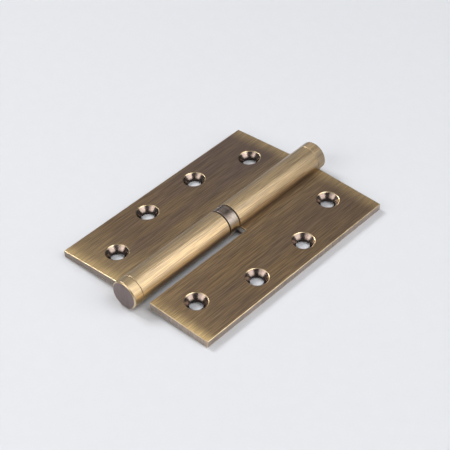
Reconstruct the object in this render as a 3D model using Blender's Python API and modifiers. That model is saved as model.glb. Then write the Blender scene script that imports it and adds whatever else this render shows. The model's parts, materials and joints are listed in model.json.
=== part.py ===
"""Lift-off door hinge, 4 x 3 inch, in brass, with a thrust ball bearing between its knuckles.

The hinge lies open on its back. +Y runs along the pin, +Z is up, and the origin is on the ground
under the middle of the barrel. The pin leaf is on the -X side and holds the pin in its knuckle.
The socket leaf is on the +X side: it swings about the pin and lifts off it towards +Y.
The barrel stands lower than the leaves, so each leaf droops until its outer edge is on the ground.
"""

import math

import bmesh
import bpy

MM = 0.001

# Leaves. Both have the same section, and heights in a leaf are measured from the pin axis.
LEAF_LENGTH = 101.6 * MM
LEAF_REACH = 38.1 * MM
LEAF_THICKNESS = 3.0 * MM
LEAF_TOP = -1.1 * MM
LEAF_BACK = LEAF_TOP - LEAF_THICKNESS
NOTCH_REACH = 9.3 * MM
TONGUE_ROOT = 3.6 * MM
TONGUE_START = 3.0 * MM
EDGE_CHAMFER = 0.25 * MM

# Countersunk screw holes, as (reach from the pin axis, distance from mid-length).
END_HOLE = (21.0 * MM, 38.5 * MM)
MIDDLE_HOLE = (29.1 * MM, 13.6 * MM)
HOLE_RADIUS = 2.75 * MM
COUNTERSINK_RADIUS = 4.7 * MM
CUT_MARGIN = 1.0 * MM

# Barrel: two knuckles, the bearing between them, and a cap at each end.
BARREL_RADIUS = 6.0 * MM
BARREL_HALF = 55.5 * MM
BORE_RADIUS = 3.3 * MM
KNUCKLE_START = 2.95 * MM
KNUCKLE_END = LEAF_LENGTH / 2.0 + 0.05 * MM
KNUCKLE_CHAMFER = 0.2 * MM
GAP = 0.3 * MM

# Pin and caps
PIN_RADIUS = 3.0 * MM
PIN_BURIED_END = -46.5 * MM
PIN_FREE_END = 36.0 * MM
PIN_LEAD_DEPTH = 1.0 * MM
PIN_LEAD_LENGTH = 1.6 * MM
PIN_TAIL_CHAMFER = 0.5 * MM
SPIGOT_RADIUS = 3.0 * MM
SPIGOT_END = 47.4 * MM
CAP_CHAMFER = 0.4 * MM

# Thrust bearing
SHELL_HALF = 2.55 * MM
SHELL_INNER = 5.25 * MM
RACE_BACK = 2.65 * MM
RACE_FACE = 0.85 * MM
RACE_OUTER = SHELL_INNER - GAP
BALL_RADIUS = 0.75 * MM
BALL_PITCH = 4.1 * MM
BALL_COUNT = 14
GROOVE_RADIUS = BALL_RADIUS + GAP

# Facets of the round shapes
BARREL_STEPS = 64
HOLE_STEPS = 48
RACE_STEPS = 48
GROOVE_STEPS = 6
BALL_SEGMENTS = 14
BALL_RINGS = 9

MERGE_DISTANCE = 0.00001
SHARP_ANGLE = math.radians(30.0)


def droop_angle():
    """The angle at which a leaf's lower outer edge is level with the bottom of the barrel."""
    reach = LEAF_REACH - EDGE_CHAMFER
    arm = math.hypot(reach, LEAF_BACK)
    return math.asin(BARREL_RADIUS / arm) - math.atan2(-LEAF_BACK, reach)


def clear_scene():
    for item in list(bpy.data.objects):
        bpy.data.objects.remove(item, do_unlink=True)


def new_collection(name):
    collection = bpy.data.collections.new(name)
    bpy.context.scene.collection.children.link(collection)
    return collection


def metal(name, colour, roughness):
    material = bpy.data.materials.new(name)
    material.use_nodes = True
    shader = material.node_tree.nodes["Principled BSDF"]
    shader.inputs["Base Color"].default_value = (*colour, 1.0)
    shader.inputs["Metallic"].default_value = 1.0
    shader.inputs["Roughness"].default_value = roughness
    material.diffuse_color = (*colour, 1.0)
    return material


def add_object(name, data, collection):
    item = bpy.data.objects.new(name, data)
    collection.objects.link(item)
    return item


def add_frame(name, collection, rotation):
    """An empty at the middle of the pin axis: what it carries turns about the pin."""
    frame = add_object(name, None, collection)
    frame.location = (0.0, 0.0, BARREL_RADIUS)
    frame.rotation_euler = rotation
    return frame


def evaluated_mesh(item):
    """The item's mesh with its modifiers applied, its seams welded and its faces pointing out."""
    bpy.context.view_layer.update()
    graph = bpy.context.evaluated_depsgraph_get()
    mesh = bpy.data.meshes.new_from_object(item.evaluated_get(graph))
    shape = bmesh.new()
    shape.from_mesh(mesh)
    bmesh.ops.remove_doubles(shape, verts=shape.verts, dist=MERGE_DISTANCE / 10.0)
    bmesh.ops.recalc_face_normals(shape, faces=shape.faces)
    shape.to_mesh(mesh)
    shape.free()
    return mesh


def baked(item):
    """Applies the item's modifiers and shades its round faces smooth."""
    mesh = evaluated_mesh(item)
    mesh.name = item.name
    item.modifiers.clear()
    item.data = mesh
    mesh.shade_smooth()
    mesh.set_sharp_from_angle(angle=SHARP_ANGLE)
    return item


def turned(name, profile, steps, collection, closed=False):
    """A profile of (radius, height) points, top to bottom on its outer side, turned about Z."""
    mesh = bpy.data.meshes.new(name)
    shape = bmesh.new()
    points = [shape.verts.new((radius, 0.0, height)) for radius, height in profile]
    for first, second in zip(points, points[1:]):
        shape.edges.new((first, second))
    if closed:
        shape.edges.new((points[-1], points[0]))
    shape.to_mesh(mesh)
    shape.free()
    item = add_object(name, mesh, collection)
    screw = item.modifiers.new("turn", "SCREW")
    screw.axis = "Z"
    screw.angle = 2.0 * math.pi
    screw.steps = steps
    screw.render_steps = steps
    screw.use_merge_vertices = True
    screw.merge_threshold = MERGE_DISTANCE
    return item


def lay_along_pin(item):
    """Turns a piece whose own axis is Z, so that it runs along the barrel."""
    item.rotation_euler = (-math.pi / 2.0, 0.0, 0.0)
    return item


def as_tool(item):
    item.hide_render = True
    item.display_type = "WIRE"
    return item


def add_boolean(item, tool, operation):
    cut = item.modifiers.new(tool.name, "BOOLEAN")
    cut.operation = operation
    cut.object = tool
    cut.solver = "EXACT"


def leaf_plate(collection):
    """The flat L of a leaf, with its tongue reaching into the barrel beyond the notch."""
    half = LEAF_LENGTH / 2.0
    outline = [
        (LEAF_REACH, -half),
        (LEAF_REACH, half),
        (TONGUE_ROOT, half),
        (TONGUE_ROOT, TONGUE_START),
        (NOTCH_REACH, TONGUE_START),
        (NOTCH_REACH, -half),
    ]
    curve = bpy.data.curves.new("leaf_outline", "CURVE")
    curve.dimensions = "2D"
    curve.fill_mode = "BOTH"
    curve.extrude = LEAF_THICKNESS / 2.0
    spline = curve.splines.new("POLY")
    spline.points.add(len(outline) - 1)
    for point, (x, y) in zip(spline.points, outline):
        point.co = (x, y, 0.0, 1.0)
    spline.use_cyclic_u = True
    drawn = add_object("leaf_outline", curve, collection)
    mesh = evaluated_mesh(drawn)
    bpy.data.objects.remove(drawn, do_unlink=True)
    plate = add_object("leaf", mesh, collection)
    plate.location.z = LEAF_TOP - LEAF_THICKNESS / 2.0
    chamfer = plate.modifiers.new("edges", "BEVEL")
    chamfer.width = EDGE_CHAMFER
    chamfer.segments = 1
    chamfer.limit_method = "ANGLE"
    return plate


def knuckle(collection):
    """A leaf's half of the barrel, bored through for the pin."""
    edge = BARREL_RADIUS - KNUCKLE_CHAMFER
    mouth = BORE_RADIUS + KNUCKLE_CHAMFER
    profile = [
        (edge, KNUCKLE_END),
        (BARREL_RADIUS, KNUCKLE_END - KNUCKLE_CHAMFER),
        (BARREL_RADIUS, KNUCKLE_START + KNUCKLE_CHAMFER),
        (edge, KNUCKLE_START),
        (mouth, KNUCKLE_START),
        (BORE_RADIUS, KNUCKLE_START + KNUCKLE_CHAMFER),
        (BORE_RADIUS, KNUCKLE_END - KNUCKLE_CHAMFER),
        (mouth, KNUCKLE_END),
    ]
    return lay_along_pin(turned("knuckle", profile, BARREL_STEPS, collection, closed=True))


def screw_hole(index, reach, along, collection):
    """The space of a countersunk hole: a cone at the leaf's top face, and a straight hole below."""
    depth = COUNTERSINK_RADIUS - HOLE_RADIUS
    profile = [
        (0.0, CUT_MARGIN),
        (COUNTERSINK_RADIUS + CUT_MARGIN, CUT_MARGIN),
        (HOLE_RADIUS, -depth),
        (HOLE_RADIUS, -LEAF_THICKNESS - CUT_MARGIN),
        (0.0, -LEAF_THICKNESS - CUT_MARGIN),
    ]
    hole = turned(f"screw_hole_{index}", profile, HOLE_STEPS, collection)
    hole.location = (reach, along, LEAF_TOP)
    return hole


def leaf_mesh(tools):
    """A whole leaf in its own frame: the pin axis is Y, and the leaf reaches out to +X."""
    leaf = leaf_plate(tools)
    add_boolean(leaf, as_tool(knuckle(tools)), "UNION")
    places = [
        (END_HOLE[0], -END_HOLE[1]),
        (MIDDLE_HOLE[0], -MIDDLE_HOLE[1]),
        (MIDDLE_HOLE[0], MIDDLE_HOLE[1]),
        (END_HOLE[0], END_HOLE[1]),
    ]
    for index, (reach, along) in enumerate(places):
        add_boolean(leaf, as_tool(screw_hole(index, reach, along, tools)), "DIFFERENCE")
    mesh = baked(leaf).data
    mesh.transform(leaf.matrix_world)
    for item in list(tools.objects):
        bpy.data.objects.remove(item, do_unlink=True)
    return mesh


def add_leaf(name, mesh, frame, material, parts):
    leaf = add_object(name, mesh.copy(), parts)
    leaf.data.materials.append(material)
    leaf.parent = frame


def add_cap(name, frame, material, parts):
    """The plug of a barrel end, with its spigot in the knuckle's bore."""
    seat = KNUCKLE_END + GAP
    edge = BARREL_RADIUS - KNUCKLE_CHAMFER
    profile = [
        (0.0, BARREL_HALF),
        (BARREL_RADIUS - CAP_CHAMFER, BARREL_HALF),
        (BARREL_RADIUS, BARREL_HALF - CAP_CHAMFER),
        (BARREL_RADIUS, seat + KNUCKLE_CHAMFER),
        (edge, seat),
        (SPIGOT_RADIUS, seat),
        (SPIGOT_RADIUS, SPIGOT_END + KNUCKLE_CHAMFER),
        (SPIGOT_RADIUS - KNUCKLE_CHAMFER, SPIGOT_END),
        (0.0, SPIGOT_END),
    ]
    cap = baked(lay_along_pin(turned(name, profile, BARREL_STEPS, parts)))
    cap.data.materials.append(material)
    cap.parent = frame


def add_pin(frame, material, parts):
    """The pin, tapered at its free end so that the socket leaf finds it."""
    profile = [
        (0.0, PIN_FREE_END),
        (PIN_RADIUS - PIN_LEAD_DEPTH, PIN_FREE_END),
        (PIN_RADIUS, PIN_FREE_END - PIN_LEAD_LENGTH),
        (PIN_RADIUS, PIN_BURIED_END + PIN_TAIL_CHAMFER),
        (PIN_RADIUS - PIN_TAIL_CHAMFER, PIN_BURIED_END),
        (0.0, PIN_BURIED_END),
    ]
    pin = baked(lay_along_pin(turned("hinge_pin", profile, HOLE_STEPS, parts)))
    pin.data.materials.append(material)
    pin.parent = frame


def add_bearing_shell(frame, material, parts):
    """The ring that shows between the knuckles and closes the bearing in."""
    edge = BARREL_RADIUS - KNUCKLE_CHAMFER
    profile = [
        (edge, SHELL_HALF),
        (BARREL_RADIUS, SHELL_HALF - KNUCKLE_CHAMFER),
        (BARREL_RADIUS, -SHELL_HALF + KNUCKLE_CHAMFER),
        (edge, -SHELL_HALF),
        (SHELL_INNER, -SHELL_HALF),
        (SHELL_INNER, SHELL_HALF),
    ]
    shell = baked(lay_along_pin(turned("bearing_shell", profile, BARREL_STEPS, parts, closed=True)))
    shell.data.materials.append(material)
    shell.parent = frame


def race_profile():
    """The section of a race lying under the balls, with the groove that they roll in."""
    sweep = math.acos(RACE_FACE / GROOVE_RADIUS)
    groove = []
    for step in range(GROOVE_STEPS + 1):
        angle = sweep - 2.0 * sweep * step / GROOVE_STEPS
        radius = BALL_PITCH - GROOVE_RADIUS * math.sin(angle)
        groove.append((radius, -GROOVE_RADIUS * math.cos(angle)))
    return [
        *groove,
        (RACE_OUTER, -RACE_FACE),
        (RACE_OUTER, -RACE_BACK),
        (BORE_RADIUS, -RACE_BACK),
        (BORE_RADIUS, -RACE_FACE),
    ]


def add_race(name, flip, frame, material, parts):
    """One race. The upper one is the lower one turned end for end."""
    race = lay_along_pin(turned(name, race_profile(), RACE_STEPS, parts, closed=True))
    baked(race).data.materials.append(material)
    if flip:
        race.rotation_euler.x += math.pi
    race.parent = frame


def add_balls(frame, material, parts):
    """The ring of loose balls, half way between the races."""
    mesh = bpy.data.meshes.new("ball")
    shape = bmesh.new()
    bmesh.ops.create_uvsphere(
        shape, u_segments=BALL_SEGMENTS, v_segments=BALL_RINGS, radius=BALL_RADIUS
    )
    shape.to_mesh(mesh)
    shape.free()
    mesh.shade_smooth()
    mesh.materials.append(material)
    for index in range(BALL_COUNT):
        angle = 2.0 * math.pi * index / BALL_COUNT
        ball = add_object(f"ball_{index + 1:02d}", mesh, parts)
        ball.location = (BALL_PITCH * math.cos(angle), 0.0, BALL_PITCH * math.sin(angle))
        ball.parent = frame


def main():
    clear_scene()
    parts = new_collection("door_hinge")
    tools = new_collection("cutters")

    antique_brass = metal("antique_brass", (0.27, 0.19, 0.10), 0.34)
    cap_brass = metal("cap_brass", (0.30, 0.21, 0.12), 0.32)
    shell_metal = metal("shell_metal", (0.24, 0.20, 0.17), 0.18)
    pin_steel = metal("pin_steel", (0.50, 0.50, 0.50), 0.25)
    bearing_steel = metal("bearing_steel", (0.58, 0.58, 0.59), 0.15)

    droop = droop_angle()
    pin_side = add_frame("pin_side_axis", parts, (0.0, droop, math.pi))
    socket_side = add_frame("swing_axis", parts, (0.0, droop, 0.0))
    level = add_frame("pin_axis", parts, (0.0, 0.0, 0.0))
    ball_ring = add_frame("ball_ring_axis", parts, (0.0, 0.0, 0.0))

    shared_leaf = leaf_mesh(tools)
    add_leaf("pin_leaf", shared_leaf, pin_side, antique_brass, parts)
    add_leaf("socket_leaf", shared_leaf, socket_side, antique_brass, parts)
    add_cap("pin_leaf_cap", pin_side, cap_brass, parts)
    add_cap("socket_leaf_cap", socket_side, cap_brass, parts)
    add_pin(level, pin_steel, parts)
    add_bearing_shell(level, shell_metal, parts)
    add_race("fixed_race", False, level, bearing_steel, parts)
    add_race("turning_race", True, level, bearing_steel, parts)
    add_balls(ball_ring, bearing_steel, parts)


main()
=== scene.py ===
"""Lift-off door hinge in brushed antique brass, lying open on a pale floor.

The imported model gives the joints, the sizes and where everything is. Each of its nodes is stood for here
by a finer piece: rounded edges, close seams, true round surfaces, and brushed, worn and polished metal.
Lengths are in metres and colours are linear. A leaf is built in its own frame, where the pin axis is Y
and the leaf reaches to +X.
"""

import json
import math

import bmesh
import bpy
from mathutils import Matrix, Vector


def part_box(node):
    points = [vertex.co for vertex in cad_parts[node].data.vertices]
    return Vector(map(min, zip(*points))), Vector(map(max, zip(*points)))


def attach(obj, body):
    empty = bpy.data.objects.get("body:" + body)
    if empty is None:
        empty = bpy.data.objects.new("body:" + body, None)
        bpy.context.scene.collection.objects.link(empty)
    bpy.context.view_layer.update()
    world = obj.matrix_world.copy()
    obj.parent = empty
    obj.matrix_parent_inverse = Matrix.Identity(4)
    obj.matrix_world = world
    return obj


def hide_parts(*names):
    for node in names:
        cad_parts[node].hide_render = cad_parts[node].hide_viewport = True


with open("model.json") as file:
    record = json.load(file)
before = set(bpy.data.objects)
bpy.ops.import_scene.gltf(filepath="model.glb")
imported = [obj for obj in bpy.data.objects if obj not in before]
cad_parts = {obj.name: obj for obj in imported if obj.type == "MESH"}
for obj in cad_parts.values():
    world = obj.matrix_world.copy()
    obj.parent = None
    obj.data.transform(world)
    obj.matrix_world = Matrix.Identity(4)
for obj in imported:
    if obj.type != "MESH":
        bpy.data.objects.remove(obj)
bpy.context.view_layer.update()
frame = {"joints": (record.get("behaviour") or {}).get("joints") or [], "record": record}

MM = 0.001


def record_part(group, name):
    return next(item for item in frame["record"][group] if item["name"] == name)


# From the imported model
AXIS = Vector(next(joint for joint in frame["joints"] if joint["name"] == "swing")["pos_m"])
DROOP = math.asin(-record_part("mounts", "socket_leaf_back")["axis"][0])
SHELL_LOW, SHELL_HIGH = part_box("bearing_shell")
BARREL_RADIUS = (SHELL_HIGH.x - SHELL_LOW.x) / 2.0
SHELL_HALF = SHELL_HIGH.y
BARREL_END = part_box("socket_leaf_cap")[1].y
PIN_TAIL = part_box("hinge_pin")[0].y
PIN_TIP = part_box("hinge_pin")[1].y
RACE_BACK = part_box("turning_race")[1].y
RACE_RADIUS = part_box("turning_race")[1].x

# Leaf
LEAF_HALF = 50.8 * MM
LEAF_REACH = 38.1 * MM
LEAF_TOP = -1.1 * MM
LEAF_THICKNESS = 3.0 * MM
NOTCH_REACH = 8.8 * MM
TONGUE_ROOT = 3.6 * MM
TONGUE_START = 3.0 * MM
EDGE_ROUND = 0.26 * MM
EDGE_SEGMENTS = 3

# Screw holes, as (reach from the pin axis, distance from mid-length)
END_HOLE = (21.0 * MM, 38.5 * MM)
MIDDLE_HOLE = (29.1 * MM, 13.6 * MM)
HOLES = [
    (END_HOLE[0], -END_HOLE[1]),
    (MIDDLE_HOLE[0], -MIDDLE_HOLE[1]),
    (MIDDLE_HOLE[0], MIDDLE_HOLE[1]),
    (END_HOLE[0], END_HOLE[1]),
]
HOLE_RADIUS = 2.75 * MM
COUNTERSINK_RADIUS = 4.65 * MM
COUNTERSINK_LIP = 0.12 * MM
LIP_INNER = COUNTERSINK_RADIUS - 1.5 * COUNTERSINK_LIP
LIP_OUTER = COUNTERSINK_RADIUS + 1.4 * COUNTERSINK_LIP
CUT_OUTER = COUNTERSINK_RADIUS + 1.5 * COUNTERSINK_LIP
CUT_CLEARANCE = 1.0 * MM

# Barrel
BORE_RADIUS = 3.3 * MM
KNUCKLE_START = 2.98 * MM
KNUCKLE_END = 50.85 * MM
KNUCKLE_EDGE = 0.16 * MM
BARREL_SURFACE = BARREL_RADIUS * 1.001
SEAM_GAP = 0.06 * MM
SEAM_EDGE = 0.12 * MM
CAP_EDGE = 0.45 * MM
CAP_SIDE = BARREL_RADIUS * 0.97
CAP_CHAMFER = BARREL_END - CAP_EDGE * 1.3
SPIGOT_RADIUS = 3.0 * MM
SPIGOT_END = 47.4 * MM
PIN_RADIUS = 3.0 * MM
PIN_EDGE = 0.6 * MM

# Bearing
SHELL_INNER = 5.25 * MM
SHELL_EDGE = 0.18 * MM
SHELL_PLAY = 0.05 * MM
RACE_FACE = 0.85 * MM
RACE_EDGE = 0.2 * MM
BALL_RADIUS = 0.75 * MM
BALL_PITCH = 4.1 * MM
BALL_COUNT = 14
BALL_SUBDIVISIONS = 4
GROOVE_RADIUS = 1.05 * MM
GROOVE_STEPS = 12

# Fineness of the round pieces, and the angle from which an edge between faces is drawn sharp
ROUND_STEPS = 192
SMALL_STEPS = 96
SHARP_ANGLE = math.radians(40.0)

# A face counts as square to an axis, or as quite level, where its normal has at least this much of the axis
SQUARE = 0.97
LEVEL = 0.99

# Order of a leaf's materials, and of a cap's
BRUSHED, EDGE, SIDE, HOLE, NOTCH_END = range(5)
CAP_DISC, CAP_RIM = 1, 2

# A leaf's own axes
REACH, ALONG, HEIGHT = range(3)

# Where the brass changes, as the start and end of a soft step. Along the pin, plus is towards the worn end.
NEAR_FADE = (27.0 * MM, 50.0 * MM)
NEAR_RIM = (45.0 * MM, 51.5 * MM)
NEAR_RIM_REACH = (9.0 * MM, 37.0 * MM)
FAR_RIM = (-43.5 * MM, -50.8 * MM)
OUTER_RIM = (37.0 * MM, 39.0 * MM)
RAGGEDNESS = 3.2 * MM
AGEING = (15.0 * MM, -48.0 * MM)
FAR_SEAM = (-50.7 * MM, -51.1 * MM)
BARREL_RISE = (-1.0 * MM, 2.0 * MM)
PAINTED_SHEEN_SIDE = (15.5 * MM, 11.0 * MM)
CROWN_HIGHLIGHT_SIDE = (0.0, 1.2 * MM)
CROWN_HIGHLIGHT_HEIGHT = (4.6 * MM, 5.3 * MM)
CAP_PAINTED_SHADE_HEIGHT = (4.6 * MM, 5.6 * MM)
CREASE_SIDE = (8.4 * MM, 6.2 * MM)
CREASE_HEIGHT = (1.5 * MM, -1.0 * MM)

# Colours of the brass, and of its painted highlights and shade
TAN_STREAK = (0.52, 0.330, 0.150)
AGED_PLUM = (0.205, 0.145, 0.125)
PAINTED_SHEEN_GOLD = (0.98, 0.700, 0.340)
BARREL_BRASS = (0.660, 0.452, 0.212)
CROWN_PAINTED_HIGHLIGHT = (0.84, 0.600, 0.315)
CAP_PAINTED_SHADE = (0.22, 0.155, 0.095)
CAP_GOLD = (0.98, 0.68, 0.34)
WORN_LEAF = (0.98, 0.700, 0.330)
WORN_BARREL = (0.55, 0.385, 0.185)
CREASE_PAINTED_SHADE = (0.10, 0.066, 0.044)
SCORE = (0.10, 0.066, 0.046)

# How much of a noise's range a mix is spread over
MIDDLE = (0.3, 0.7)
WIDE = (0.2, 0.8)

# Colours of the lights
WARM_WHITE = (1.0, 0.995, 0.99)
NEUTRAL_WHITE = (0.97, 0.985, 1.0)
COOL_WHITE = (0.96, 0.98, 1.0)

# Camera: angles in degrees, the point it looks at from the middle of the pin, and its lens in millimetres
CAMERA_AZIMUTH = 43.49
CAMERA_ELEVATION = 40.94
CAMERA_ROLL = -2.0
CAMERA_DISTANCE = 0.5672
CAMERA_AIM = (1.78, -1.44, 0.0)
CAMERA_LENS = 116.17
CAMERA_SENSOR = 36.0

SCENE = bpy.context.scene


# ---------------------------------------------------------------- mesh helpers


def object_from(name, shape):
    mesh = bpy.data.meshes.new(name)
    shape.to_mesh(mesh)
    shape.free()
    item = bpy.data.objects.new(name, mesh)
    SCENE.collection.objects.link(item)
    return item


def lathe(name, profile, steps, closed):
    """Turns a profile of (radius, place along the pin) pairs about Y. An open one starts and ends on Y."""
    shape = bmesh.new()
    rings = []
    for radius, along in profile:
        if radius == 0.0:
            rings.append([shape.verts.new((0.0, along, 0.0))])
            continue
        ring = []
        for step in range(steps):
            angle = 2.0 * math.pi * step / steps
            ring.append(shape.verts.new((radius * math.cos(angle), along, radius * math.sin(angle))))
        rings.append(ring)
    pairs = list(zip(rings, rings[1:]))
    if closed:
        pairs.append((rings[-1], rings[0]))
    for first, second in pairs:
        for step in range(steps):
            after = (step + 1) % steps
            corners = []
            for ring, place in ((first, step), (first, after), (second, after), (second, step)):
                corner = ring[place % len(ring)]
                if corner not in corners:
                    corners.append(corner)
            shape.faces.new(corners)
    bmesh.ops.recalc_face_normals(shape, faces=shape.faces)
    return object_from(name, shape)


def rounded(corners, radius, segments=4):
    """The points of a rounded profile. Each corner is (x, y, its share of the rounding radius)."""
    points = []
    for index, (x, y, share) in enumerate(corners):
        here = Vector((x, y))
        size = radius * share
        if size == 0.0:
            points.append((x, y))
            continue
        before = Vector(corners[index - 1][:2]) - here
        after = Vector(corners[(index + 1) % len(corners)][:2]) - here
        start = here + before.normalized() * size
        end = here + after.normalized() * size
        for step in range(segments + 1):
            t = step / segments
            spot = start * (1.0 - t) ** 2 + here * 2.0 * t * (1.0 - t) + end * t**2
            points.append((spot.x, spot.y))
    return points


def apply_modifiers(item):
    bpy.context.view_layer.update()
    graph = bpy.context.evaluated_depsgraph_get()
    mesh = bpy.data.meshes.new_from_object(item.evaluated_get(graph))
    item.modifiers.clear()
    item.data = mesh


def shade(item):
    """Smooth shading that leaves the large faces true, so that only the rounded edges turn the light."""
    item.data.shade_smooth()
    item.data.set_sharp_from_angle(angle=SHARP_ANGLE)
    weigh = item.modifiers.new("weigh", "WEIGHTED_NORMAL")
    weigh.mode = "FACE_AREA"
    weigh.weight = 100
    weigh.keep_sharp = True
    apply_modifiers(item)


def combine(item, other, operation):
    """Joins the other object to this one or cuts it out of this one, and uses it up."""
    cut = item.modifiers.new(operation, "BOOLEAN")
    cut.operation = operation
    cut.object = other
    cut.solver = "EXACT"
    apply_modifiers(item)
    bpy.data.objects.remove(other, do_unlink=True)


# ---------------------------------------------------------------- materials


class Nodes:
    """A material's node tree, with one short call for each kind of node."""

    def __init__(self, name):
        self.material = bpy.data.materials.new(name)
        self.material.use_nodes = True
        self.tree = self.material.node_tree
        self.shader = self.tree.nodes["Principled BSDF"]
        self.place = self.tree.nodes.new("ShaderNodeTexCoord").outputs["Object"]

    def link(self, source, target):
        self.tree.links.new(source, target)

    def feed(self, source, target):
        """Links a socket, or sets a plain value."""
        if isinstance(source, bpy.types.NodeSocket):
            self.link(source, target)
        else:
            target.default_value = source

    def axis(self, index):
        split = self.tree.nodes.new("ShaderNodeSeparateXYZ")
        self.link(self.place, split.inputs[0])
        return split.outputs[index]

    def noise(self, scale, detail=3.0, shift=0.0, roughness=0.55):
        """Noise with its own scale along each axis, in cycles per metre."""
        mapping = self.tree.nodes.new("ShaderNodeMapping")
        mapping.inputs["Scale"].default_value = scale
        mapping.inputs["Location"].default_value = (shift, shift * 1.7, shift * 0.6)
        self.link(self.place, mapping.inputs["Vector"])
        noise = self.tree.nodes.new("ShaderNodeTexNoise")
        noise.inputs["Scale"].default_value = 1.0
        noise.inputs["Detail"].default_value = detail
        noise.inputs["Roughness"].default_value = roughness
        self.link(mapping.outputs[0], noise.inputs["Vector"])
        return noise.outputs["Fac"]

    def math(self, operation, first, second=0.0, third=0.0):
        node = self.tree.nodes.new("ShaderNodeMath")
        node.operation = operation
        for socket, value in zip(node.inputs, (first, second, third)):
            self.feed(value, socket)
        return node.outputs[0]

    def ramp(self, value, low, high, to_low=0.0, to_high=1.0):
        """A smooth step from to_low at low to to_high at high."""
        node = self.tree.nodes.new("ShaderNodeMapRange")
        node.interpolation_type = "SMOOTHSTEP"
        self.link(value, node.inputs["Value"])
        self.feed(low, node.inputs["From Min"])
        self.feed(high, node.inputs["From Max"])
        self.feed(to_low, node.inputs["To Min"])
        self.feed(to_high, node.inputs["To Max"])
        return node.outputs["Result"]

    def mix(self, share, first, second):
        """Goes from the first colour to the second. Each is a socket or three numbers."""
        node = self.tree.nodes.new("ShaderNodeMix")
        node.data_type = "RGBA"
        self.feed(share, node.inputs["Factor"])
        for value, name in ((first, "A"), (second, "B")):
            socket = next(s for s in node.inputs if s.name == name and s.type == "RGBA")
            self.feed(value if isinstance(value, bpy.types.NodeSocket) else (*value, 1.0), socket)
        return next(s for s in node.outputs if s.type == "RGBA")

    def bump(self, height, strength, distance):
        node = self.tree.nodes.new("ShaderNodeBump")
        node.inputs["Strength"].default_value = strength
        node.inputs["Distance"].default_value = distance
        self.link(height, node.inputs["Height"])
        return node.outputs["Normal"]

    def brushed_along_pin(self, amount):
        """Stretches highlights across the brush marks, which run along the pin: world Y in every pose."""
        tangent = self.tree.nodes.new("ShaderNodeCombineXYZ")
        tangent.inputs["Y"].default_value = 1.0
        self.link(tangent.outputs[0], self.shader.inputs["Tangent"])
        self.shader.inputs["Anisotropic"].default_value = amount
        self.shader.inputs["Anisotropic Rotation"].default_value = 0.25

    def finish(self, colour, roughness, normal=None, coat=0.0, coat_roughness=0.2, coat_ior=1.5):
        self.feed(colour, self.shader.inputs["Base Color"])
        self.feed(roughness, self.shader.inputs["Roughness"])
        self.shader.inputs["Metallic"].default_value = 1.0
        self.feed(coat, self.shader.inputs["Coat Weight"])
        self.shader.inputs["Coat Roughness"].default_value = coat_roughness
        self.shader.inputs["Coat IOR"].default_value = coat_ior
        if normal is not None:
            self.link(normal, self.shader.inputs["Normal"])
        return self.material


def brass_wear(nodes, place, reach, ragged, flat, soft, inner, sharp):
    """How far the patina is rubbed away: at the worn end, less at the far end and along the outer edge."""
    strength = nodes.ramp(reach, *NEAR_RIM_REACH, inner, sharp)
    rim = nodes.ramp(place, *NEAR_RIM, to_high=strength)
    near = nodes.math("ADD", nodes.ramp(place, *NEAR_FADE, to_high=soft), rim)
    far = nodes.math("MULTIPLY", nodes.ramp(place, *FAR_RIM, to_high=0.55), flat)
    outer = nodes.ramp(nodes.math("ADD", reach, ragged), *OUTER_RIM, to_high=0.3)
    return nodes.math("MAXIMUM", nodes.math("MAXIMUM", near, far), outer)


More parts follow.
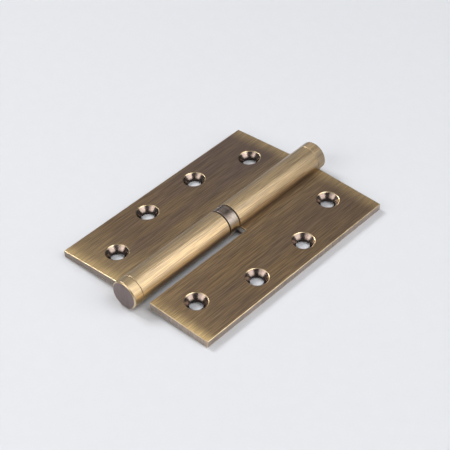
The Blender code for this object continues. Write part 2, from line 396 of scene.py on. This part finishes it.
def antique_brass(name, shift, worn_end, soft, inner, sharp, age, dark, light):
    """Brushed brass under a dark patina, rubbed back to gold at the ends and buffed lighter on the barrel.

    The end that is rubbed further in is at plus or minus Y, by the sign of worn_end. There, soft is the wear
    well in from the end, and inner and sharp are what its rim adds, beside the barrel and at the outer edge.
    The patina, mottled from dark to light, darkens towards the other end by the share age.
    """
    nodes = Nodes(name)
    hair = nodes.noise((5200.0, 120.0, 5200.0), detail=1.0, shift=shift + 5.0, roughness=0.5)
    fine = nodes.noise((3600.0, 65.0, 3600.0), detail=2.0, shift=shift, roughness=0.5)
    streak = nodes.noise((1300.0, 30.0, 1300.0), shift=shift + 3.0)
    band = nodes.noise((130.0, 14.0, 130.0), shift=shift + 9.0)
    reach, along, height = (nodes.axis(index) for index in (REACH, ALONG, HEIGHT))
    side = nodes.math("ABSOLUTE", reach)

    # Wear, with a softly streaked limit. The barrel is buffed all over.
    ragged = nodes.math("MULTIPLY_ADD", streak, RAGGEDNESS, -RAGGEDNESS / 2.0)
    place = nodes.math("MULTIPLY", nodes.math("ADD", along, ragged), worn_end)
    buffed = nodes.ramp(height, *BARREL_RISE)
    flat = nodes.math("SUBTRACT", 1.0, buffed)
    wear = brass_wear(nodes, place, reach, ragged, flat, soft, inner, sharp)

    # Patina, with a faint painted highlight where the leaf meets the barrel
    patina = nodes.mix(nodes.ramp(band, 0.35, 0.65), dark, light)
    streaked = nodes.mix(nodes.ramp(streak, 0.40, 0.72, to_high=0.22), patina, TAN_STREAK)
    darkened = nodes.mix(nodes.ramp(place, *AGEING, to_high=age), streaked, AGED_PLUM)
    painted_sheen = nodes.mix(nodes.ramp(side, *PAINTED_SHEEN_SIDE, to_high=0.16), darkened, PAINTED_SHEEN_GOLD)

    # Barrel, with a painted highlight along the crown on its lit side
    raised = nodes.mix(buffed, painted_sheen, BARREL_BRASS)
    lit = nodes.ramp(nodes.math("MULTIPLY", reach, -worn_end), *CROWN_HIGHLIGHT_SIDE)
    painted_crown_highlight = nodes.math("MULTIPLY", lit, nodes.ramp(height, *CROWN_HIGHLIGHT_HEIGHT, to_high=0.9))
    crown_highlighted = nodes.mix(painted_crown_highlight, raised, CROWN_PAINTED_HIGHLIGHT)

    # Cap at the far end: painted shade low on its sides, lighter on top
    capped = nodes.ramp(nodes.math("MULTIPLY", along, worn_end), *FAR_SEAM, to_high=0.5)
    painted_cap_shade = nodes.mix(nodes.ramp(height, *CAP_PAINTED_SHADE_HEIGHT), CAP_PAINTED_SHADE, CAP_GOLD)
    with_cap_painted_shade = nodes.mix(nodes.math("MULTIPLY", capped, buffed), crown_highlighted, painted_cap_shade)

    worn = nodes.mix(wear, with_cap_painted_shade, nodes.mix(buffed, WORN_LEAF, WORN_BARREL))

    # Painted shade in the crease under the barrel
    low = nodes.ramp(height, *CREASE_HEIGHT)
    painted_crease_shade = nodes.math("MULTIPLY", low, nodes.ramp(side, *CREASE_SIDE, to_high=0.50))
    crease_shaded = nodes.mix(painted_crease_shade, worn, CREASE_PAINTED_SHADE)

    # Brush marks that hold the patina, fainter where it is rubbed away
    deep = nodes.ramp(fine, 0.40, 0.60, to_high=0.60)
    shallow = nodes.ramp(hair, 0.38, 0.62, to_high=0.40)
    rubbed = nodes.math("MULTIPLY", wear, 0.5)
    cleared = nodes.math("MAXIMUM", rubbed, nodes.math("MULTIPLY", buffed, 0.25))
    kept = nodes.math("SUBTRACT", 1.0, cleared)
    scored = nodes.math("MULTIPLY", nodes.math("ADD", deep, shallow), kept)
    colour = nodes.mix(scored, crease_shaded, nodes.mix(0.80, crease_shaded, SCORE))

    roughness = nodes.ramp(fine, *MIDDLE, 0.32, 0.42)
    normal = nodes.bump(nodes.math("ADD", fine, hair), strength=0.25, distance=0.01 * MM)
    nodes.brushed_along_pin(0.75)
    lacquer = nodes.math("MULTIPLY_ADD", buffed, 0.6, 0.25)
    return nodes.finish(colour, roughness, normal, coat=lacquer, coat_roughness=0.3, coat_ior=1.8)


def worn_edge(name):
    """The rounded edges, rubbed bright."""
    nodes = Nodes(name)
    rub = nodes.noise((240.0, 240.0, 240.0), detail=4.0, shift=2.0)
    colour = nodes.mix(nodes.ramp(rub, *MIDDLE), (0.56, 0.41, 0.23), (0.76, 0.60, 0.38))
    nodes.brushed_along_pin(0.3)
    return nodes.finish(colour, nodes.ramp(rub, *MIDDLE, 0.36, 0.28), coat=0.5)


def sawn_side(name, dark, light, scratch):
    """The leaf's thin sides, where the patina stays dark and the saw has left marks across the thickness."""
    nodes = Nodes(name)
    marks = nodes.noise((2600.0, 2600.0, 160.0), shift=5.0)
    blotch = nodes.noise((120.0, 120.0, 120.0), shift=1.0)
    patina = nodes.mix(nodes.ramp(blotch, *MIDDLE), dark, light)
    colour = nodes.mix(nodes.ramp(marks, *MIDDLE), patina, scratch)
    roughness = nodes.ramp(marks, *WIDE, 0.36, 0.5)
    normal = nodes.bump(marks, strength=0.4, distance=0.02 * MM)
    return nodes.finish(colour, roughness, normal, coat=0.4, coat_roughness=0.3)


def notch_end_painted_light(name):
    """The notch's end face with its file marks, painted near-white as painted light like the lit floor
    beside it, with a painted shadow line along its upper rim.
    """
    nodes = Nodes(name)
    marks = nodes.noise((3000.0, 3000.0, 260.0), shift=9.0)
    # Painted light: near-white, like the lit floor beside it
    bright = nodes.mix(nodes.ramp(marks, *MIDDLE), (0.80, 0.760, 0.700), (0.95, 0.920, 0.870))
    # A painted shadow line along the upper rim
    rim = nodes.ramp(nodes.axis(HEIGHT), LEAF_TOP - 0.60 * MM, LEAF_TOP - 0.40 * MM)
    colour = nodes.mix(rim, bright, (0.06, 0.045, 0.035))
    normal = nodes.bump(marks, strength=0.3, distance=0.02 * MM)
    return nodes.finish(colour, nodes.ramp(marks, *WIDE, 0.30, 0.42), normal)


def cut_copper(name):
    """The countersinks and holes, cut to bright rosy brass that is polished above, with painted shade deep
    down in the hole.
    """
    nodes = Nodes(name)
    smear = nodes.noise((900.0, 900.0, 2400.0), shift=4.0)
    bright = nodes.mix(nodes.ramp(smear, *MIDDLE), (0.27, 0.200, 0.168), (0.36, 0.280, 0.236))
    # Painted shade deep down in the hole
    deep = nodes.ramp(nodes.axis(HEIGHT), LEAF_TOP - 1.2 * MM, LEAF_TOP - 2.0 * MM)
    colour = nodes.mix(deep, bright, (0.055, 0.042, 0.036))
    normal = nodes.bump(smear, strength=0.15, distance=0.01 * MM)
    return nodes.finish(colour, nodes.ramp(smear, *WIDE, 0.17, 0.27), normal)


def cap_face(name):
    """The barrel's end discs: a dull plum patina with faint straight brush marks."""
    nodes = Nodes(name)
    marks = nodes.noise((2200.0, 300.0, 140.0), shift=7.0)
    blotch = nodes.noise((260.0, 260.0, 260.0), detail=2.0, shift=3.0)
    dark = nodes.mix(nodes.ramp(blotch, *MIDDLE), (0.180, 0.134, 0.132), (0.218, 0.167, 0.162))
    colour = nodes.mix(nodes.ramp(marks, 0.3, 0.75), dark, (0.27, 0.208, 0.190))
    roughness = nodes.ramp(marks, *WIDE, 0.38, 0.5)
    normal = nodes.bump(marks, strength=0.3, distance=0.02 * MM)
    return nodes.finish(colour, roughness, normal, coat=0.3, coat_roughness=0.3)


def dark_polish(name):
    """The bearing ring: plum above, a paler rosy band in the middle and brass low on its sides, turned and
    polished.
    """
    nodes = Nodes(name)
    turning = nodes.noise((120.0, 4200.0, 120.0), shift=6.0)
    cloud = nodes.noise((300.0, 300.0, 300.0), shift=2.0)
    smudged = nodes.math("MULTIPLY_ADD", cloud, 3.0 * MM, nodes.axis(HEIGHT))
    brass = nodes.mix(nodes.ramp(cloud, *MIDDLE), (0.37, 0.272, 0.155), (0.48, 0.360, 0.215))
    rosy = nodes.mix(nodes.ramp(smudged, 3.4 * MM, 5.4 * MM), brass, (0.37, 0.310, 0.262))
    plum = nodes.mix(nodes.ramp(cloud, *MIDDLE), (0.155, 0.115, 0.098), (0.215, 0.162, 0.135))
    dark = nodes.mix(nodes.ramp(smudged, 5.8 * MM, 6.9 * MM), rosy, plum)
    turned = nodes.mix(0.4, dark, (0.46, 0.380, 0.300))
    colour = nodes.mix(nodes.ramp(turning, *MIDDLE, to_high=0.5), dark, turned)
    roughness = nodes.ramp(cloud, *WIDE, 0.24, 0.32)
    normal = nodes.bump(turning, strength=0.2, distance=0.01 * MM)
    return nodes.finish(colour, roughness, normal, coat=0.5)


def ground_steel(name):
    """The pin: centreless-ground steel, with fine rings and a film of oil."""
    nodes = Nodes(name)
    rings = nodes.noise((60.0, 5200.0, 60.0), detail=2.0, shift=8.0)
    film = nodes.noise((140.0, 90.0, 140.0), shift=1.0)
    steel = nodes.mix(nodes.ramp(film, *MIDDLE), (0.42, 0.41, 0.40), (0.56, 0.56, 0.56))
    colour = nodes.mix(nodes.ramp(rings, *MIDDLE, to_high=0.5), steel, (0.33, 0.32, 0.31))
    normal = nodes.bump(rings, strength=0.25, distance=0.01 * MM)
    return nodes.finish(colour, nodes.ramp(film, *WIDE, 0.18, 0.32), normal)


def bearing_steel(name):
    """Hardened and lapped steel, with light smears of grease."""
    nodes = Nodes(name)
    smear = nodes.noise((500.0, 500.0, 500.0), shift=3.0)
    fine = nodes.noise((6000.0, 6000.0, 6000.0), detail=2.0, shift=1.0)
    colour = nodes.mix(nodes.ramp(smear, 0.35, 0.7), (0.62, 0.62, 0.63), (0.50, 0.48, 0.45))
    normal = nodes.bump(fine, strength=0.08, distance=0.005 * MM)
    return nodes.finish(colour, nodes.ramp(smear, *WIDE, 0.08, 0.22), normal)


# ---------------------------------------------------------------- leaves


def plate():
    """The leaf's flat L, every edge lightly rounded."""
    outline = [
        (LEAF_REACH, -LEAF_HALF),
        (LEAF_REACH, LEAF_HALF),
        (TONGUE_ROOT, LEAF_HALF),
        (TONGUE_ROOT, TONGUE_START),
        (NOTCH_REACH, TONGUE_START),
        (NOTCH_REACH, -LEAF_HALF),
    ]
    shape = bmesh.new()
    face = shape.faces.new([shape.verts.new((x, y, LEAF_TOP)) for x, y in outline])
    made = bmesh.ops.extrude_face_region(shape, geom=[face])
    lower = [item for item in made["geom"] if isinstance(item, bmesh.types.BMVert)]
    bmesh.ops.translate(shape, verts=lower, vec=(0.0, 0.0, -LEAF_THICKNESS))
    bmesh.ops.recalc_face_normals(shape, faces=shape.faces)
    bmesh.ops.bevel(
        shape,
        geom=list(shape.edges),
        offset=EDGE_ROUND,
        segments=EDGE_SEGMENTS,
        profile=0.5,
        affect="EDGES",
    )
    return object_from("leaf", shape)


def knuckle():
    corners = [
        (BARREL_RADIUS, KNUCKLE_END, 1.0),
        (BARREL_RADIUS, KNUCKLE_START, 1.0),
        (BORE_RADIUS, KNUCKLE_START, 1.0),
        (BORE_RADIUS, KNUCKLE_END, 1.0),
    ]
    return lathe("knuckle", rounded(corners, KNUCKLE_EDGE), ROUND_STEPS, closed=True)


def screw_hole(reach, along):
    """The space of a countersunk hole, with the slightly rolled lip that the cutter leaves."""
    lip = COUNTERSINK_LIP
    depth = COUNTERSINK_RADIUS - HOLE_RADIUS
    below = LEAF_THICKNESS + CUT_CLEARANCE
    profile = [
        (0.0, CUT_CLEARANCE),
        (CUT_OUTER, CUT_CLEARANCE),
        (CUT_OUTER, 0.05 * MM),
        (COUNTERSINK_RADIUS + lip, -0.2 * lip),
        (COUNTERSINK_RADIUS + 0.4 * lip, -0.6 * lip),
        (LIP_INNER, -1.5 * lip),
        (HOLE_RADIUS, -depth),
        (HOLE_RADIUS, -below),
        (0.0, -below),
    ]
    hole = lathe("screw_hole", profile, SMALL_STEPS, closed=False)
    hole.data.transform(Matrix.Rotation(math.pi / 2.0, 4, "X"))
    hole.data.transform(Matrix.Translation((reach, along, LEAF_TOP)))
    return hole


def leaf_shape():
    leaf = plate()
    combine(leaf, knuckle(), "UNION")
    for reach, along in HOLES:
        combine(leaf, screw_hole(reach, along), "DIFFERENCE")
    mesh = leaf.data
    bpy.data.objects.remove(leaf, do_unlink=True)
    return mesh


def leaf_region(centre, normal):
    """Which of a leaf's materials a face has."""
    for reach, along in HOLES:
        away = math.hypot(centre.x - reach, centre.y - along)
        if away < LIP_OUTER and abs(normal.z) < LEVEL:
            return HOLE if away < LIP_INNER else EDGE
    if math.hypot(centre.x, centre.z) < BARREL_SURFACE and centre.x < NOTCH_REACH:
        if abs(normal.y) > SQUARE:
            return SIDE
        at_end = abs(centre.y - KNUCKLE_END) < KNUCKLE_EDGE
        return EDGE if at_end and abs(normal.y) < SQUARE else BRUSHED
    if max(abs(value) for value in normal) < SQUARE:
        return EDGE
    if normal.y < -SQUARE and centre.y > 0.0:
        return NOTCH_END
    return BRUSHED if abs(normal.z) > SQUARE else SIDE


def side_matrix(turn):
    """From a leaf's own frame to the hinge's: drooped about the pin, and turned about the vertical."""
    return Matrix.Translation(AXIS) @ Matrix.Rotation(turn, 4, "Z") @ Matrix.Rotation(DROOP, 4, "Y")


def add_leaf(name, mesh, turn, materials, body, node):
    leaf = bpy.data.objects.new(name, mesh.copy())
    SCENE.collection.objects.link(leaf)
    for material in materials:
        leaf.data.materials.append(material)
    for face in leaf.data.polygons:
        face.material_index = leaf_region(face.center, face.normal)
    shade(leaf)
    leaf.matrix_world = side_matrix(turn)
    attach(leaf, body)
    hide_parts(node)


# ---------------------------------------------------------------- barrel and bearing


def add_round(name, profile, steps, closed, materials, body, node, turn=0.0):
    piece = lathe(name, profile, steps, closed)
    for material in materials:
        piece.data.materials.append(material)
    shade(piece)
    piece.matrix_world = side_matrix(turn)
    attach(piece, body)
    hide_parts(node)
    return piece


def add_cap(name, turn, materials, body, node):
    seat = KNUCKLE_END + SEAM_GAP
    corners = [
        (0.0, BARREL_END, 0.0),
        (BARREL_RADIUS - CAP_EDGE, BARREL_END, 0.25),
        (BARREL_RADIUS, BARREL_END - CAP_EDGE, 0.25),
        (BARREL_RADIUS, seat, 0.45),
        (SPIGOT_RADIUS, seat, 0.0),
        (SPIGOT_RADIUS, SPIGOT_END, 0.45),
        (0.0, SPIGOT_END, 0.0),
    ]
    profile = rounded(corners, CAP_EDGE, segments=3)
    cap = add_round(name, profile, ROUND_STEPS, False, materials, body, node, turn)
    for face in cap.data.polygons:
        radius = math.hypot(face.center.x, face.center.z)
        chamfer = face.center.y > CAP_CHAMFER
        seam = radius > CAP_SIDE and face.center.y < seat + SEAM_EDGE
        if face.normal.y > SQUARE:
            face.material_index = CAP_DISC
        elif chamfer or seam:
            face.material_index = CAP_RIM


def add_bearing_ring(material):
    half = SHELL_HALF - SHELL_PLAY
    corners = [
        (BARREL_RADIUS, half, 1.0),
        (BARREL_RADIUS, -half, 1.0),
        (SHELL_INNER, -half, 0.5),
        (SHELL_INNER, half, 0.5),
    ]
    profile = rounded(corners, SHELL_EDGE)
    add_round(
        "bearing_ring", profile, ROUND_STEPS, True, [material], "pin_side", "bearing_shell"
    )


def add_pin(material):
    corners = [
        (0.0, PIN_TIP, 0.0),
        (PIN_RADIUS - 1.0 * MM, PIN_TIP, 0.6),
        (PIN_RADIUS, PIN_TIP - 1.6 * MM, 0.8),
        (PIN_RADIUS, PIN_TAIL + 0.5 * MM, 0.3),
        (PIN_RADIUS - 0.5 * MM, PIN_TAIL, 0.3),
        (0.0, PIN_TAIL, 0.0),
    ]
    profile = rounded(corners, PIN_EDGE)
    add_round("pin_rod", profile, SMALL_STEPS, False, [material], "pin_side", "hinge_pin")


def race_corners(side):
    """A race's section, with a ball groove and eased corners. side is +1 above the balls and -1 below."""
    sweep = math.acos(RACE_FACE / GROOVE_RADIUS)
    points = []
    for step in range(GROOVE_STEPS + 1):
        angle = sweep - 2.0 * sweep * step / GROOVE_STEPS
        radius = BALL_PITCH - GROOVE_RADIUS * math.sin(angle)
        points.append((radius, side * GROOVE_RADIUS * math.cos(angle), 0.0))
    points += [
        (RACE_RADIUS, side * RACE_FACE, 0.3),
        (RACE_RADIUS, side * RACE_BACK, 1.0),
        (BORE_RADIUS, side * RACE_BACK, 1.0),
        (BORE_RADIUS, side * RACE_FACE, 0.3),
    ]
    return rounded(points, RACE_EDGE)


def add_bearing(material):
    for name, side, body, node in (
        ("lower_race", -1.0, "pin_side", "fixed_race"),
        ("upper_race", 1.0, "bearing_top", "turning_race"),
    ):
        add_round(name, race_corners(side), SMALL_STEPS, True, [material], body, node)
    for index in range(BALL_COUNT):
        angle = 2.0 * math.pi * index / BALL_COUNT
        shape = bmesh.new()
        bmesh.ops.create_icosphere(shape, subdivisions=BALL_SUBDIVISIONS, radius=BALL_RADIUS)
        ball = object_from(f"bearing_ball_{index + 1:02d}", shape)
        ball.data.materials.append(material)
        shade(ball)
        ball.location = AXIS + Vector((BALL_PITCH * math.cos(angle), 0.0, BALL_PITCH * math.sin(angle)))
        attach(ball, "ball_ring")
        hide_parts(f"ball_{index + 1:02d}")


# ---------------------------------------------------------------- studio


def add_floor():
    nodes = Nodes("floor_paper")
    fibre = nodes.noise((180.0, 180.0, 180.0), detail=4.0, shift=2.0)
    paper = nodes.mix(nodes.ramp(fibre, *WIDE), (0.678, 0.678, 0.697), (0.688, 0.688, 0.707))
    nodes.link(paper, nodes.shader.inputs["Base Color"])
    nodes.shader.inputs["Roughness"].default_value = 0.6
    nodes.shader.inputs["Specular IOR Level"].default_value = 0.3
    shape = bmesh.new()
    bmesh.ops.create_grid(shape, x_segments=1, y_segments=1, size=3.0)
    floor = object_from("floor", shape)
    floor.data.materials.append(nodes.material)


def add_panel(name, toward, length_along, distance, length_span, width_span, radiance, colour):
    """A soft box square to the direction toward. Its spans are measured from the point straight out."""
    out = Vector(toward).normalized()
    length = Vector(length_along)
    length = (length - out * length.dot(out)).normalized()
    width = out.cross(length)
    lamp = bpy.data.lights.new(name, "AREA")
    lamp.shape = "RECTANGLE"
    lamp.size = length_span[1] - length_span[0]
    lamp.size_y = width_span[1] - width_span[0]
    lamp.energy = radiance * math.pi * lamp.size * lamp.size_y
    lamp.color = colour
    light = bpy.data.objects.new(name, lamp)
    SCENE.collection.objects.link(light)
    middle = AXIS + out * distance + length * sum(length_span) / 2.0 + width * sum(width_span) / 2.0
    light.matrix_world = Matrix.Translation(middle) @ Matrix((length, width, out)).transposed().to_4x4()


def add_lights():
    """A broad bank on the right in four strips, a front bank in two, a faint fill and a strong key."""
    across = (1.0, 0.0, 0.0)
    along = (0.0, 1.0, 0.0)
    slant = (-0.644, 0.0, 0.765)
    banks = (
        ((0.70, 0.40, 0.59), slant, 0.80, (
            ("right_low", (-0.52, -0.15), (-0.205, 0.30), 2.3, WARM_WHITE),
            ("right_middle", (-0.15, 0.25), (-0.205, 0.45), 2.4, NEUTRAL_WHITE),
            ("right_high", (0.25, 0.95), (-0.19, 0.12), 2.2, NEUTRAL_WHITE),
            ("right_top", (0.25, 0.66), (0.12, 0.48), 4.6, NEUTRAL_WHITE),
        )),
        ((-0.071, -0.816, 0.574), across, 0.80, (
            ("front_left", (-0.50, -0.10), (-0.25, 0.25), 2.8, WARM_WHITE),
            ("front_right", (-0.10, 0.32), (-0.25, 0.25), 1.6, WARM_WHITE),
        )),
        ((-0.60, 0.38, 0.66), along, 0.90, (
            ("left_fill", (-0.05, 0.45), (-0.40, 0.40), 0.50, WARM_WHITE),
        )),
        ((-0.74, 0.0, 0.67), along, 2.00, (
            ("key", (-0.31, 0.31), (-0.31, 0.31), 20.5, COOL_WHITE),
        )),
    )
    for toward, length_along, distance, panels in banks:
        for name, length_span, width_span, radiance, colour in panels:
            add_panel(name, toward, length_along, distance, length_span, width_span, radiance, colour)


def add_world():
    world = bpy.data.worlds.new("studio")
    SCENE.world = world
    world.use_nodes = True
    background = world.node_tree.nodes["Background"]
    background.inputs["Color"].default_value = (0.93, 0.95, 1.0, 1.0)
    background.inputs["Strength"].default_value = 0.08


def add_camera():
    azimuth = math.radians(CAMERA_AZIMUTH)
    elevation = math.radians(CAMERA_ELEVATION)
    roll = math.radians(CAMERA_ROLL)
    back = Vector(
        (
            math.sin(azimuth) * math.cos(elevation),
            -math.cos(azimuth) * math.cos(elevation),
            math.sin(elevation),
        )
    )
    level = Vector((math.cos(azimuth), math.sin(azimuth), 0.0))
    upright = back.cross(level)
    right = level * math.cos(roll) + upright * math.sin(roll)
    up = upright * math.cos(roll) - level * math.sin(roll)
    camera = bpy.data.objects.new("camera", bpy.data.cameras.new("camera"))
    camera.data.lens = CAMERA_LENS
    camera.data.sensor_width = CAMERA_SENSOR
    camera.data.clip_start = 0.01
    aim = AXIS + Vector(CAMERA_AIM) * MM
    turn = Matrix((right, up, back)).transposed().to_4x4()
    camera.matrix_world = Matrix.Translation(aim + back * CAMERA_DISTANCE) @ turn
    SCENE.collection.objects.link(camera)
    SCENE.camera = camera


def add_hinge():
    edge = worn_edge("worn_edge")
    pin_sawn = sawn_side(
        "sawn_side_pin",
        dark=(0.175, 0.142, 0.132),
        light=(0.250, 0.200, 0.168),
        scratch=(0.32, 0.257, 0.212),
    )
    # A lighter copy of the sides for the socket leaf: painted light that lifts their shade
    socket_sawn_painted_light = sawn_side(
        "sawn_side_socket_painted_light",
        dark=(0.290, 0.240, 0.218),
        light=(0.410, 0.335, 0.280),
        scratch=(0.52, 0.425, 0.350),
    )
    copper = cut_copper("cut_copper")
    notch_end = notch_end_painted_light("notch_end_painted_light")
    disc = cap_face("cap_face")
    pin_brass = antique_brass(
        "antique_brass_pin_side",
        shift=0.0,
        worn_end=1,
        soft=0.40,
        inner=0.62,
        sharp=0.60,
        age=0.64,
        dark=(0.270, 0.174, 0.118),
        light=(0.360, 0.228, 0.112),
    )
    socket_brass = antique_brass(
        "antique_brass_socket_side",
        shift=20.0,
        worn_end=-1,
        soft=0.12,
        inner=0.48,
        sharp=1.12,
        age=0.38,
        dark=(0.305, 0.198, 0.112),
        light=(0.410, 0.260, 0.118),
    )

    mesh = leaf_shape()
    pin_leaf = [pin_brass, edge, pin_sawn, copper, notch_end]
    socket_leaf = [socket_brass, edge, socket_sawn_painted_light, copper, notch_end]
    add_leaf("pin_leaf_brass", mesh, math.pi, pin_leaf, "pin_side", "pin_leaf")
    add_leaf("socket_leaf_brass", mesh, 0.0, socket_leaf, "socket_side", "socket_leaf")
    add_cap("near_cap", math.pi, [pin_brass, disc, edge], "pin_side", "pin_leaf_cap")
    add_cap("far_cap", 0.0, [socket_brass, disc, edge], "socket_side", "socket_leaf_cap")
    add_bearing_ring(dark_polish("dark_polish"))
    add_pin(ground_steel("ground_steel"))
    add_bearing(bearing_steel("bearing_steel"))


SCENE.view_settings.view_transform = "Standard"
add_hinge()
add_floor()
add_world()
add_lights()
add_camera()
